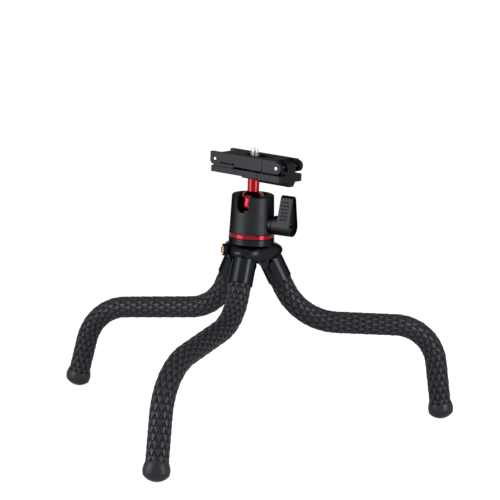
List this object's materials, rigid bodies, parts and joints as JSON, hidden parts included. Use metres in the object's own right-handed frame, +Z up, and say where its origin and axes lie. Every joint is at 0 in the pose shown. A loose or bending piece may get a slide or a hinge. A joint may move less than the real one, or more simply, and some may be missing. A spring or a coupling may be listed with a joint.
{
  "type": "flexible-leg camera tripod",
  "caption": "Small stand with three bendable rubber-sleeved legs on pins, a notched ball head with a lock paddle, and a fold-out sliding clamp with a camera screw.",
  "frame": {"origin": "On the floor, under the middle of the standing tripod's bounding box.", "axes": "+Z up along the ball head's own axis and the camera screw; -Y towards the viewer of the picture, +X to the viewer's right, along the longest side of the footprint."},
  "size_m": [0.3158, 0.2692, 0.2169],
  "materials": {
    "red_metal": "glossy red anodised",
    "black_metal": "satin black anodised",
    "black_gloss": "glossy black moulded",
    "sleeve_rubber": "embossed charcoal rubber",
    "foot_rubber": "smooth charcoal rubber",
    "pad_rubber": "fine-ribbed black rubber",
    "steel": "bright turned steel",
    "brass": "turned brass",
    "core_alloy": "soft drawn wire",
    "seat_plastic": "plain moulded"
  },
  "bodies": {
    "hub": {"hub_body": "black_gloss", "leg_pins": "steel", "head_stud": "steel", "side_insert": "brass"},
    "leg_left": {"leg_left_cuff": "black_gloss", "leg_left_upper_sleeve": "sleeve_rubber", "leg_left_upper_core": "core_alloy"},
    "leg_left_run": {"leg_left_bend_sleeves": "sleeve_rubber", "leg_left_middle_sleeve": "sleeve_rubber", "leg_left_middle_core": "core_alloy"},
    "leg_left_end": {"leg_left_lower_sleeve": "sleeve_rubber", "leg_left_lower_core": "core_alloy", "leg_left_foot": "foot_rubber"},
    "leg_middle": {"leg_middle_cuff": "black_gloss", "leg_middle_upper_sleeve": "sleeve_rubber", "leg_middle_upper_core": "core_alloy"},
    "leg_middle_run": {"leg_middle_bend_sleeves": "sleeve_rubber", "leg_middle_middle_sleeve": "sleeve_rubber", "leg_middle_middle_core": "core_alloy"},
    "leg_middle_end": {"leg_middle_lower_sleeve": "sleeve_rubber", "leg_middle_lower_core": "core_alloy", "leg_middle_foot": "foot_rubber"},
    "leg_right": {"leg_right_cuff": "black_gloss", "leg_right_upper_sleeve": "sleeve_rubber", "leg_right_upper_core": "core_alloy"},
    "leg_right_run": {"leg_right_bend_sleeves": "sleeve_rubber", "leg_right_middle_sleeve": "sleeve_rubber", "leg_right_middle_core": "core_alloy"},
    "leg_right_end": {"leg_right_lower_sleeve": "sleeve_rubber", "leg_right_lower_core": "core_alloy", "leg_right_foot": "foot_rubber"},
    "head": {"head_base_ring": "red_metal", "head_housing": "black_metal", "ball_seat": "seat_plastic", "lock_wedge": "brass"},
    "knob": {"lock_knob": "black_metal", "lock_screw": "steel"},
    "ball": {"ball_stem": "red_metal"},
    "clamp": {"clamp_base": "black_metal", "guide_rods": "steel", "return_springs": "steel", "short_arm_pin": "steel"},
    "slider": {"clamp_slider": "black_metal", "long_arm_pin": "steel"},
    "long_arm": {"long_arm": "black_metal", "long_arm_pad": "pad_rubber"},
    "short_arm": {"short_arm": "black_metal", "short_arm_pad": "pad_rubber"},
    "screw": {"camera_screw": "steel", "screw_clip": "steel"}
  },
  "joints": [
    {"name": "left_leg_fold", "type": "hinge", "parent": "hub", "child": "leg_left", "pos_m": [-0.0152, 0.04386, 0.127], "axis": [0.7431, 0.6691, 0], "range_deg": [-27.5, 6]},
    {"name": "left_bend_upper", "type": "hinge", "parent": "leg_left", "child": "leg_left_run", "pos_m": [-0.03742, 0.06635, 0.0874], "axis": [0.42, 0.886, 0.1964], "range_deg": [-56.5, 25], "deforming": ["leg_left_bend_sleeves", "leg_left_middle_core"]},
    {"name": "left_bend_lower", "type": "hinge", "parent": "leg_left_run", "child": "leg_left_end", "pos_m": [-0.13106, 0.11493, 0.06361], "axis": [-0.4516, -0.892, -0.018], "range_deg": [-67.93, 25], "deforming": ["leg_left_bend_sleeves", "leg_left_middle_core"]},
    {"name": "middle_leg_fold", "type": "hinge", "parent": "hub", "child": "leg_middle", "pos_m": [-0.01167, 0.02725, 0.127], "axis": [-0.9511, 0.309, 0], "range_deg": [-27.5, 6]},
    {"name": "middle_bend_upper", "type": "hinge", "parent": "leg_middle", "child": "leg_middle_run", "pos_m": [-0.02146, -0.00097, 0.09051], "axis": [-0.8819, 0.4632, -0.0874], "range_deg": [-54.88, 25], "deforming": ["leg_middle_bend_sleeves", "leg_middle_middle_core"]},
    {"name": "middle_bend_lower", "type": "hinge", "parent": "leg_middle_run", "child": "leg_middle_end", "pos_m": [-0.06476, -0.08902, 0.06836], "axis": [0.8577, -0.47, 0.2084], "range_deg": [-57.45, 25], "deforming": ["leg_middle_bend_sleeves", "leg_middle_middle_core"]},
    {"name": "right_leg_fold", "type": "hinge", "parent": "hub", "child": "leg_right", "pos_m": [0.00095, 0.03861, 0.127], "axis": [0.2079, -0.9781, 0], "range_deg": [-27.5, 6]},
    {"name": "right_bend_upper", "type": "hinge", "parent": "leg_right", "child": "leg_right_run", "pos_m": [0.0349, 0.04563, 0.08512], "axis": [0.1728, -0.9848, -0.0186], "range_deg": [-59.85, 25], "deforming": ["leg_right_bend_sleeves", "leg_right_middle_core"]},
    {"name": "right_bend_lower", "type": "hinge", "parent": "leg_right_run", "child": "leg_right_end", "pos_m": [0.13222, 0.06288, 0.06973], "axis": [-0.1736, 0.9848, 0], "range_deg": [-78.33, 25], "deforming": ["leg_right_bend_sleeves", "leg_right_middle_core"]},
    {"name": "head_turn", "type": "hinge", "parent": "hub", "child": "head", "pos_m": [-0.00864, 0.03657, 0.15], "axis": [0, 0, 1], "continuous": true},
    {"name": "knob_turn", "type": "hinge", "parent": "head", "child": "knob", "pos_m": [0.0092, 0.02709, 0.1593], "axis": [-0.8829, 0.4695, 0], "range_deg": [0, 120]},
    {"name": "ball_tilt", "type": "hinge", "parent": "head", "child": "ball", "pos_m": [-0.00864, 0.03657, 0.17375], "axis": [0.8829, -0.4695, 0], "range_deg": [-28, 90]},
    {"name": "ball_pan", "type": "hinge", "parent": "ball", "child": "clamp", "pos_m": [-0.00864, 0.03657, 0.17375], "axis": [0, 0, 1], "continuous": true},
    {"name": "clamp_slide", "type": "slide", "parent": "clamp", "child": "slider", "axis": [-0.766, 0.6428, 0], "range_m": [0, 0.02], "stiffness_N_per_m": 150, "springref_m": -0.01, "deforming": ["return_springs"]},
    {"name": "long_arm_fold", "type": "hinge", "parent": "slider", "child": "long_arm", "pos_m": [-0.03032, 0.05477, 0.20655], "axis": [-0.6428, -0.766, 0], "range_deg": [0, 90]},
    {"name": "short_arm_fold", "type": "hinge", "parent": "clamp", "child": "short_arm", "pos_m": [0.01641, 0.01555, 0.20655], "axis": [0.6428, 0.766, 0], "range_deg": [0, 90]},
    {"name": "camera_screw_turn", "type": "hinge", "parent": "clamp", "child": "screw", "pos_m": [-0.00864, 0.03657, 0.19625], "axis": [0, 0, 1], "continuous": true}
  ]
}
